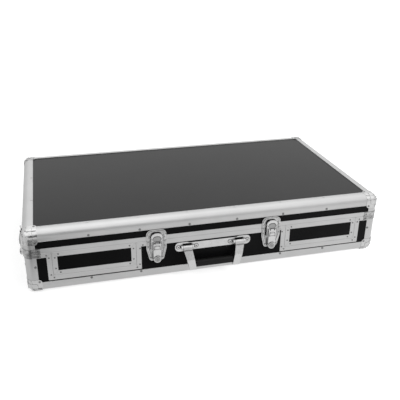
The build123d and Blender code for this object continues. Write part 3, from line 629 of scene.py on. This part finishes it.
# %% Lips of the edge profiles
lip_line = 29.3 * mm
lip_radius = 0.7
cap_reach = 38
half_across = (right_x - left_x) / 2 / mm - cap_reach
half_back = (rear_y - front_y) / 2 / mm - cap_reach
quarter_turn = Matrix.Rotation(pi / 2, 4, "Z")

for body, level, inwards, out_flat in halves:
    row = level + inwards * lip_line
    long_seats, short_seats = [], []
    for y, out, inward in wide_sides:
        long_seats += [seat((0, y, row), out), seat((0, y + inward * lip_line, level), out_flat)]
    for x, out, inward in deep_sides:
        short_seats += [seat((x, middle_y, row), out),
                        seat((x + inward * lip_line, middle_y, level), out_flat) @ quarter_turn]
    for edge, half, seats, metal in (("long", half_across, long_seats, aluminium["x"]),
                                     ("short", half_back, short_seats, aluminium["y"])):
        lip = draw_straight_bead(-half, half, lip_radius, metal, sides=6)
        place_copies(lip, f"{body}_{edge}_lips", seats, body)
        put_away(lip)
print("lips", round(2 * half_across), "and", round(2 * half_back), "mm long")

# %% [markdown]
# ## Ball corners
# A ball corner is pressed from one sheet: three flat ears, and a thicker-looking ball where the sheet was
# drawn out over the corner. It starts as a cube with its three outer edges bevelled into a ball. The inner
# faces are deleted, the free corners of the ears are rounded, and Solidify gives the sheet its thickness.
# The ball is drawn the same way, smaller and standing higher, with two beads across each edge.

# %% Draw a ball corner
corner_round = 20
ear_thick, ear_rise, ear_round = 0.5, 0.55, 9
ball_reach, ball_thick, ball_rise, ball_round = 26, 1.1, 1.2, 7
edge_bead_angles = (28, 62)
edge_bead_from, edge_bead_to = 13, 36
edge_bead_radius = 1.6
edge_bead_rise = 0.4
close = 0.01


def draw_shell(reach, thickness, rise, free_round):
    """A rounded shell over a corner at the origin, whose three faces look along minus X, Y and Z."""
    bpy.ops.mesh.primitive_cube_add(size=reach + rise, location=((reach - rise) / 2,) * 3)
    bpy.ops.object.transform_apply()
    bpy.ops.object.mode_set(mode="EDIT")
    near = -rise + close
    choose("EDGE", lambda edge: sum(all(vertex.co[axis] < near for vertex in edge.verts)
                                    for axis in range(3)) == 2)
    bpy.ops.mesh.bevel(offset=corner_round + rise, segments=8)
    choose("FACE", lambda face: max(face.normal) > 0.9)
    bpy.ops.mesh.delete(type="FACE")
    far = reach - close
    choose("VERT", lambda vertex: sum(value > far for value in vertex.co) == 2)
    bpy.ops.mesh.bevel(offset=free_round, segments=5, affect="VERTICES")
    shell = finish_part(corner_plate)
    bpy.ops.object.modifier_add(type="SOLIDIFY")
    sheet = shell.modifiers[-1]
    sheet.thickness = thickness
    sheet.offset = -1
    bpy.ops.object.modifier_apply(modifier=sheet.name)
    return shell


def draw_edge_beads():
    """Two beads across the rounded edge that runs along X, and the same on the other two edges."""
    beads = []
    for angle in edge_bead_angles:
        bead = draw_straight_bead(edge_bead_from, edge_bead_to, edge_bead_radius, corner_plate)
        swing = radians(180 + angle)
        rim = corner_round + edge_bead_rise
        place = Matrix.Translation((0, corner_round + rim * cos(swing), corner_round + rim * sin(swing)))
        for turn in range(3):
            axes = Matrix([[float((row - column) % 3 == turn) for column in range(3)] for row in range(3)])
            beads.append(copy_part(bead, axes.to_4x4() @ place))
        put_away(bead)
    return beads


corner = join_parts([draw_shell(cap_reach, ear_thick, ear_rise, ear_round),
                     draw_shell(ball_reach, ball_thick, ball_rise, ball_round), *draw_edge_beads()])
print("corner faces", len(corner.data.polygons))

# %% [markdown]
# The drawn corner is mirrored to all eight corners of the case, where it stands for the plain packed one.
# Each of its three ears has a rivet.

# %% Place the ball corners
ear_place = 31.5 * mm
ear_top = ear_rise * mm
cap_rivet = draw_rivet(radius=3.0, height=0.6, hollow=0.35, finish=rivet_steel)
for body, level, inwards, out_flat in halves:
    cap_seats, ear_seats = [], []
    for x, x_side in x_ends:
        for y, y_side in y_ends:
            mirror = Matrix.Diagonal((x_side, y_side, inwards, 1))
            cap_seats.append(Matrix.Translation((x, y, level)) @ mirror)
            ear_x, ear_y, ear_z = x + x_side * ear_place, y + y_side * ear_place, level + inwards * ear_place
            ear_seats += [seat((x - x_side * ear_top, ear_y, ear_z), (-x_side, 0, 0)),
                          seat((ear_x, y - y_side * ear_top, ear_z), (0, -y_side, 0)),
                          seat((ear_x, ear_y, level - inwards * ear_top), out_flat)]
    caps = place_copies(corner, f"{body}_ball_corners", cap_seats, body, angle=40)
    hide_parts(f"{body}_corner_caps")
    place_copies(cap_rivet, f"{body}_corner_rivets", ear_seats, body)
put_away(corner, cap_rivet)
print("eight ball corners")

# %% [markdown]
# The rim brackets at the four corners have a small rivet on each leg, and a bead above and below it.

# %% Rivets and beads of the rim brackets
bracket_sheet = 1.2 * mm
bracket_rivet_in = 36 * mm
bracket_bead_in = 31 * mm
bracket_bead_off = 4.6 * mm
bead_half, bead_radius = 11, 1.1
bracket_bead = draw_straight_bead(-bead_half, bead_half, bead_radius, corner_plate)
for body in ("lid", "base"):
    low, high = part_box(f"{body}_rim_brackets")
    middle_z = (low.z + high.z) / 2
    bead_levels = (middle_z - bracket_bead_off, middle_z + bracket_bead_off)
    rivet_seats = near_corners(bracket_rivet_in, [middle_z], bracket_sheet)
    bead_seats = near_corners(bracket_bead_in, bead_levels, bracket_sheet)
    place_copies(small_rivet, f"{body}_bracket_rivets", rivet_seats, body)
    place_copies(bracket_bead, f"{body}_bracket_beads", bead_seats, body)
    print(body, len(rivet_seats), "bracket rivets and", len(bead_seats), "beads")
put_away(bracket_bead)

# %% [markdown]
# ## Dress the draw latches
# A pressed latch is covered in beads that follow its outline. Every part of a latch is drawn round one
# point: on the case's side, across the middle of the latch, where the lid meets the base.

# %% Seats of the four latches
latch_seats = {}
for latch in latches:
    low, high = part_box(f"{latch}_lever")
    middle = (low + high) / 2
    if latch.startswith("front"):
        latch_seats[latch] = seat((middle.x, front_y, parting_z), out_front)
    elif latch == "left_side":
        latch_seats[latch] = seat((left_x, middle.y, parting_z), out_left)
    else:
        latch_seats[latch] = seat((right_x, middle.y, parting_z), out_right)
all_latch_seats = list(latch_seats.values())
print({name: [round(value, 4) for value in place.translation] for name, place in latch_seats.items()})

# %% [markdown]
# The keeper on the lid has two beads inside its edge and a small stepped dome over its hook, with two
# finer beads on the dome. The dome and the web of the loop are both blocks with an arched top.

# %% Keeper: outline beads and stepped dome
sheet_face = 1.5
dome_face = 5.9
dome_half = 9.5
dome_flat = 1.5


def arch_points(half, low, high):
    """Corners of an arch with an open foot."""
    return [(-half, low), (-half, high), (half, high), (half, low)]


def draw_arched_block(low, high, crown, finish, rim=0):
    """A block between two corners with an arched top, and a bevel round its face where it has a rim."""
    start_block(low, high)
    top, face = high[1] - 0.1, high[2] - 0.1
    choose("EDGE", lambda edge: all(vertex.co.y > top for vertex in edge.verts)
           and abs(edge.verts[0].co.z - edge.verts[1].co.z) > 0.5)
    bpy.ops.mesh.bevel(offset=crown, segments=7)
    if rim > 0:
        choose("EDGE", lambda edge: all(vertex.co.z > face for vertex in edge.verts))
        bpy.ops.mesh.bevel(offset=rim, segments=2)
    return finish_part(finish)


keeper_trim = join_parts([
    draw_arched_block((-dome_half, 0.9, 1.4), (dome_half, 15.6, dome_face), dome_half - dome_flat,
                      latch_plate, rim=0.8),
    draw_bead(arch_points(25.4, 1.8, 30.4), bend=13, radius=1.4, level=sheet_face, finish=latch_plate),
    draw_bead(arch_points(18.4, 2, 27.4), bend=12, radius=1.2, level=sheet_face, finish=latch_plate),
    draw_bead(arch_points(7.2, 1.8, 13.2), bend=6.2, radius=0.8, level=dome_face, finish=latch_plate),
    draw_bead(arch_points(4.2, 1.8, 10), bend=3.6, radius=0.8, level=dome_face, finish=latch_plate)])
place_copies(keeper_trim, "keeper_trims", all_latch_seats, "lid")
put_away(keeper_trim)
print("keepers dressed")

# %% [markdown]
# The base plate has one bead down each side, which turns inwards where the plate narrows to its foot.

# %% Base plate beads
plate_line = ((19, -2.5), (19, -24.5), (13.8, -46))
plate_trim = join_parts([
    draw_bead([(side * x, y) for x, y in plate_line], bend=6, radius=1.2, level=sheet_face,
              finish=latch_plate)
    for side in (-1, 1)])
place_copies(plate_trim, "base_plate_trims", all_latch_seats, "base")
put_away(plate_trim)
print("base plates dressed")

# %% [markdown]
# The loop carries two beads, and a thin web closes its upper half, in plating painted dark for a painted
# dark reflection. The lever has a roll round its pin and a raised panel in a dark frame, a painted dark
# outline.
# These parts move, so each latch has its own, tied to its loop or lever.

# %% Loop beads and web, lever head and panel
loop_face = 9.2
web_half = 11.2
web_flat = 2
head_place = (0, -6, 8.5)
head_radius, head_length = 4.8, 9.2
lever_face = 13.6
lever_line = ((-6.4, -7.6), (6.4, -7.6), (8.4, -24), (-8.4, -24))
panel_low, panel_high = (-6.2, -23, 13.5), (6.2, -9, 14.1)
panel_widening = 1.25


def draw_lever_head():
    """A roll round the lever's pin, with softened ends."""
    bpy.ops.mesh.primitive_cylinder_add(vertices=24, radius=head_radius, depth=head_length,
                                        location=head_place, rotation=(0, pi / 2, 0))
    bpy.ops.object.transform_apply()
    bpy.ops.object.mode_set(mode="EDIT")
    choose("EDGE", lambda edge: abs(edge.verts[0].co.x - edge.verts[1].co.x) < 0.1)
    bpy.ops.mesh.bevel(offset=0.5, segments=2)
    return finish_part(latch_plate)


def draw_lever_panel():
    """A raised panel that widens towards its foot, as its frame does."""
    start_block(panel_low, panel_high)
    choose("VERT", lambda vertex: vertex.co.y < -20)
    bpy.ops.transform.resize(value=(panel_widening, 1, 1))
    return finish_part(latch_plate)


loop_trim = join_parts([
    draw_bead(arch_points(11.6, -24, 16.4), bend=9.6, radius=1.1, level=loop_face, finish=latch_plate),
    draw_bead(arch_points(14.4, -24, 21.6), bend=11.6, radius=1.1, level=loop_face, finish=latch_plate)])
# The web's dark plating is a painted dark reflection of a dished panel.
loop_web = draw_arched_block((-web_half, 0.6, 8.2), (web_half, 14.6, 9.0), web_half - web_flat,
                             painted_dark_plate)
lever_head = draw_lever_head()
# The lever's frame is a dark bead: a painted dark outline for the dark reflection round its panel.
lever_painted_outline = draw_bead(lever_line, bend=2, radius=1.0, level=lever_face, finish=rivet_steel, closed=True)
lever_panel = draw_lever_panel()
moving_parts = (("loop_trim", loop_trim, "loop_body"), ("loop_web", loop_web, "loop_body"),
                ("lever_head", lever_head, "lever_body"), ("lever_painted_outline", lever_painted_outline, "lever_body"),
                ("lever_panel", lever_panel, "lever_body"))
for latch, place in latch_seats.items():
    for part_name, part, carrier in moving_parts:
        place_copies(part, f"{latch}_{part_name}", [place], f"{latch}_{carrier}")
put_away(loop_trim, loop_web, lever_head, lever_painted_outline, lever_panel)
print("loops and levers dressed")

# %% [markdown]
# The keeper and the base plate of a latch are riveted to the boards on both sides of the latch's middle.

# %% Rivets of the latches
keeper_rivet = (21.8, 9)
upper_rivet = (22, -16)
foot_rivet = (15.5, -50)


def latch_rivet_seats(x, y):
    """Seats on both sides of every latch, in millimetres across and up from the latch's own seat."""
    return [place @ Matrix.Translation((side * x * mm, y * mm, sheet_face * mm))
            for place in all_latch_seats for side in (-1, 1)]


base_plate_seats = latch_rivet_seats(*upper_rivet) + latch_rivet_seats(*foot_rivet)
place_copies(latch_rivet, "keeper_rivets", latch_rivet_seats(*keeper_rivet), "lid")
place_copies(latch_rivet, "base_plate_rivets", base_plate_seats, "base")
put_away(latch_rivet)
print("latches riveted")

# %% [markdown]
# The handle's plate is held by four screws in dark rings. Over each knuckle it has a slot, drawn as a thin
# black sheet for a painted shadow, and the end of each arm is curled, with its shade painted as a dark line.

# %% Screws, slots and curls of the handle
plate_low, plate_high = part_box("handle_plate")
handle_z = (plate_low.z + plate_high.z) / 2
plate_face = front_y - 0.5 * mm
screw_places = (48.5, 98.5)
knuckle_place = 74
slot_half = Vector((12.5, 1.7, 0.2))
slot_rise = 7.6
curl_shade_half, curl_shade_radius = 11.4, 0.9
curl_shade_drop = 6.5
curl_shade_face = front_y - 14.1 * mm


def handle_seats(places, face, rise=0):
    """Seats on both halves of the handle, on a face, in millimetres across and over its middle."""
    return [seat((side * x * mm, face, handle_z + rise * mm), out_front) for side in (-1, 1) for x in places]


screw = draw_rivet(radius=4.9, height=1.6, hollow=1.1, finish=handle_plate)
screw_ring = draw_rivet(radius=6.6, height=0.7, hollow=0.1, finish=rivet_steel)
# The slot is drawn as a thin black sheet, a painted shadow where the plate is open.
start_block(-slot_half, slot_half)
slot_shadow = finish_part(grip_plastic)
# The shade under each arm's curled end is painted as a thin dark bead lying on the arm.
curl_shade = draw_straight_bead(-curl_shade_half, curl_shade_half, curl_shade_radius, rivet_steel)
screw_seats = handle_seats(screw_places, plate_face)
slot_seats = handle_seats([knuckle_place], plate_face, slot_rise)
curl_shade_seats = handle_seats([knuckle_place], curl_shade_face, -curl_shade_drop)
place_copies(screw, "handle_screws", screw_seats, "base")
place_copies(screw_ring, "handle_screw_rings", screw_seats, "base")
place_copies(slot_shadow, "handle_slot_shadows", slot_seats, "base")
place_copies(curl_shade, "handle_curl_shades", curl_shade_seats, "handle")
put_away(screw, screw_ring, slot_shadow, curl_shade)
print("handle screwed on")

# %% [markdown]
# Each leaf of the two hinges at the back has three rivets.

# %% Rivets of the hinge leaves
hinge_place = 300
hinge_face = rear_y + 2 * mm
leaf_rivets = ((-25, 20), (0, 23), (25, 20))
for body, up in (("lid", 1), ("base", -1)):
    seats = [seat(((hinge + shift) * mm, hinge_face, parting_z + up * rise * mm), out_rear)
             for hinge in (-hinge_place, hinge_place) for shift, rise in leaf_rivets]
    place_copies(small_rivet, f"{body}_hinge_rivets", seats, body)
put_away(small_rivet)
print("hinges riveted")

# %% [markdown]
# ## Foam lining
# The lid is lined with foam cut in soft waves, which holds what lies below it. A fine grid is extruded to
# a slab, and its lower face is then waved in code. The slab keeps the space of the plain packed one.

# %% Waved foam in the lid
foam_low, foam_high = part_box("lid_lining")
foam_middle = (foam_low + foam_high) / 2
foam_size = foam_high - foam_low
pitch = 32 * mm
steps_per_wave = 4
columns = round(foam_size.x / pitch) * steps_per_wave
rows = round(foam_size.y / pitch) * steps_per_wave
wave_deep = 9 * mm

bpy.ops.mesh.primitive_grid_add(x_subdivisions=columns, y_subdivisions=rows, size=1,
                                location=(foam_middle.x, foam_middle.y, foam_high.z))
bpy.ops.transform.resize(value=(foam_size.x, foam_size.y, 1))
bpy.ops.object.transform_apply()
bpy.ops.object.mode_set(mode="EDIT")
bpy.ops.mesh.select_all(action="SELECT")
bpy.ops.mesh.extrude_region_move(TRANSFORM_OT_translate={"value": (0, 0, -foam_size.z)})
bpy.ops.mesh.select_all(action="SELECT")
bpy.ops.mesh.normals_make_consistent(inside=False)
lid_foam = finish_part(foam)
for vertex in lid_foam.data.vertices:
    if vertex.co.z < foam_middle.z:
        wide_wave = cos((vertex.co.x - foam_low.x) * 2 * pi / pitch)
        deep_wave = cos((vertex.co.y - foam_low.y) * 2 * pi / pitch)
        vertex.co.z += wave_deep * (1 + wide_wave * deep_wave) / 2
lid_foam.name = "lid_waved_foam"
bpy.ops.object.shade_smooth_by_angle(angle=radians(50))
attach(lid_foam, "lid")
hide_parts("lid_lining")
bpy.ops.object.select_all(action="DESELECT")
print("waves", columns // steps_per_wave, "by", rows // steps_per_wave)

# %% [markdown]
# The floor has three flat pads with rounded upper edges, one for each bay. They stop just short of the
# dividers between the bays.

# %% Flat pads on the floor
pad_low, pad_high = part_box("base_lining")
divider_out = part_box("bay_dividers")[1].x
divider_thick = 9 * mm
pad_gap = 0.2 * mm
pad_round = 3 * mm
inner_edge = divider_out - divider_thick - pad_gap
outer_edge = divider_out + pad_gap
pads = []
for low_x, high_x in ((pad_low.x, -outer_edge), (-inner_edge, inner_edge), (outer_edge, pad_high.x)):
    start_block((low_x, pad_low.y, pad_low.z), (high_x, pad_high.y, pad_high.z))
    choose("EDGE", lambda edge: all(vertex.co.z > pad_high.z - mm for vertex in edge.verts))
    bpy.ops.mesh.bevel(offset=pad_round, segments=3)
    pads.append(finish_part(foam))
base_foam = join_parts(pads)
base_foam.name = "base_foam_pads"
bpy.ops.object.shade_smooth_by_angle(angle=radians(40))
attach(base_foam, "base")
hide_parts("base_lining")
bpy.ops.object.select_all(action="DESELECT")
print("three pads", round((pad_high.z - pad_low.z) / mm, 1), "mm thick")

# %% [markdown]
# ## The studio
# The case stands on a pale floor in a bright, plain room. The floor is white to the camera but keeps the
# shadow of the case. What metal mirrors of it is a little dimmer to the left, and it has a dark round
# patch in front of the left corner, so that the bright plating there has something dark to show.

# %% Floor
floor_size = 30
bounce_grey, shadow_grey, shown_glow = 0.8, 0.5, 0.62
floor_left, floor_right = -0.6, 0.6
glow_left, glow_right = 0.68, 0.86
patch_place = (-0.57, -0.56, 0)
patch_inner, patch_outer = 0.09, 0.17
patch_glow = 0.12


def add_diffuse(tree, shade):
    """A plain matt surface."""
    matt = tree.nodes.new("ShaderNodeBsdfDiffuse")
    matt.inputs["Color"].default_value = (*grey(shade), 1)
    return matt.outputs["BSDF"]


def add_blend(tree, factor, first, second):
    """Blend two shaders by a factor."""
    blend = tree.nodes.new("ShaderNodeMixShader")
    tree.links.new(factor, blend.inputs["Fac"])
    tree.links.new(first, blend.inputs[1])
    tree.links.new(second, blend.inputs[2])
    return blend.outputs["Shader"]


def add_mirrored_glow(tree):
    """What glossy surfaces see of the floor: a glow that rises to the right, dark inside the patch."""
    place = tree.nodes.new("ShaderNodeTexCoord")
    apart = tree.nodes.new("ShaderNodeVectorMath")
    apart.operation = "DISTANCE"
    apart.inputs[1].default_value = patch_place
    tree.links.new(place.outputs["Object"], apart.inputs[0])
    across_floor = tree.nodes.new("ShaderNodeSeparateXYZ")
    tree.links.new(place.outputs["Object"], across_floor.inputs["Vector"])
    patch = add_range(tree, apart.outputs["Value"], patch_inner, patch_outer, patch_glow, 1.0)
    along = add_range(tree, across_floor.outputs["X"], floor_left, floor_right, glow_left, glow_right)
    mirrored = tree.nodes.new("ShaderNodeEmission")
    tree.links.new(add_product(tree, patch, along), mirrored.inputs["Strength"])
    return mirrored.outputs["Emission"]


def make_floor_material():
    """White to the camera, with the shadow kept, and plain pale for the light that it bounces."""
    material, tree, shader = start_material("pale_floor")
    tree.nodes.remove(shader)
    path = tree.nodes.new("ShaderNodeLightPath")
    glow = tree.nodes.new("ShaderNodeEmission")
    glow.inputs["Strength"].default_value = shown_glow
    shown = tree.nodes.new("ShaderNodeAddShader")
    tree.links.new(add_diffuse(tree, shadow_grey), shown.inputs[0])
    tree.links.new(glow.outputs["Emission"], shown.inputs[1])
    bounced = add_diffuse(tree, bounce_grey)
    unseen = add_blend(tree, path.outputs["Is Glossy Ray"], bounced, add_mirrored_glow(tree))
    surface = add_blend(tree, path.outputs["Is Camera Ray"], unseen, shown.outputs["Shader"])
    tree.links.new(surface, tree.nodes["Material Output"].inputs["Surface"])
    return material


bpy.ops.mesh.primitive_plane_add(size=floor_size, location=(0, 0, 0))
floor = bpy.context.object
floor.name = "floor"
floor.data.materials.append(make_floor_material())
bpy.ops.object.select_all(action="DESELECT")
print("floor", floor_size, "m wide")

# %% [markdown]
# The room is bright all round and dimmer near the horizon. Behind the camera it has a dark patch, as a
# real studio has. Beads, rivets and rounded corners of bright plating show that patch as a thin dark line.

# %% Room
horizon_low, horizon_high = 0.28, 0.52
horizon_glow, sky_glow = 0.70, 1.12
dark_heading = (-0.15, -1, 0.35)
dark_outer, dark_inner = 0.925, 0.975

world = bpy.data.worlds.new("room")
bpy.context.scene.world = world
world.use_nodes = True
room = world.node_tree
background = room.nodes["Background"]
background.inputs["Color"].default_value = (*grey(1), 1)
direction = room.nodes.new("ShaderNodeTexCoord")


def add_towards(heading):
    """How much a direction points towards a heading, from -1 to 1."""
    towards = room.nodes.new("ShaderNodeVectorMath")
    towards.operation = "DOT_PRODUCT"
    towards.inputs[1].default_value = Vector(heading).normalized()
    room.links.new(direction.outputs["Generated"], towards.inputs[0])
    return towards.outputs["Value"]


sky = add_range(room, add_towards((0, 0, 1)), horizon_low, horizon_high, horizon_glow, sky_glow)
dark_patch = add_range(room, add_towards(dark_heading), dark_outer, dark_inner, 1.0, 0.0)
light_path = room.nodes.new("ShaderNodeLightPath")
shown_white = room.nodes.new("ShaderNodeMix")
shown_white.inputs["B"].default_value = 1.0
room.links.new(light_path.outputs["Is Camera Ray"], shown_white.inputs["Factor"])
room.links.new(add_product(room, sky, dark_patch), shown_white.inputs["A"])
room.links.new(shown_white.outputs["Result"], background.inputs["Strength"])
print("room lit")

# %% [markdown]
# A large lamp above and a weaker one at the front give the soft light. A smaller, stronger lamp at the
# right lights the matt surfaces, the floor above all, and no surface mirrors it.

# %% Lamps


def add_lamp(name, place, aim, size, power):
    """A square soft lamp aimed at a point."""
    data = bpy.data.lights.new(name, "AREA")
    data.size = size
    data.energy = power
    lamp = bpy.data.objects.new(name, data)
    bpy.context.scene.collection.objects.link(lamp)
    lamp.location = place
    lamp.rotation_euler = (Vector(aim) - Vector(place)).to_track_quat("-Z", "Y").to_euler()
    return lamp


add_lamp("top_lamp", place=(-0.3, 0.3, 2.4), aim=(0, 0, 0.1), size=2.2, power=3)
add_lamp("front_lamp", place=(-1.6, -2.4, 1.3), aim=(0, -0.1, 0.1), size=1.4, power=1.5)
side_lamp = add_lamp("side_lamp", place=(1.3, -1.1, 0.8), aim=(0.3, -0.3, 0.08), size=0.8, power=22)
side_lamp.visible_glossy = False
print("three lamps")

# %% [markdown]
# The picture is shown plainly, without a film curve, so that its greys can be compared with a photograph.

# %% Colour management
bpy.context.scene.view_settings.view_transform = "Standard"
print(bpy.context.scene.view_settings.view_transform)
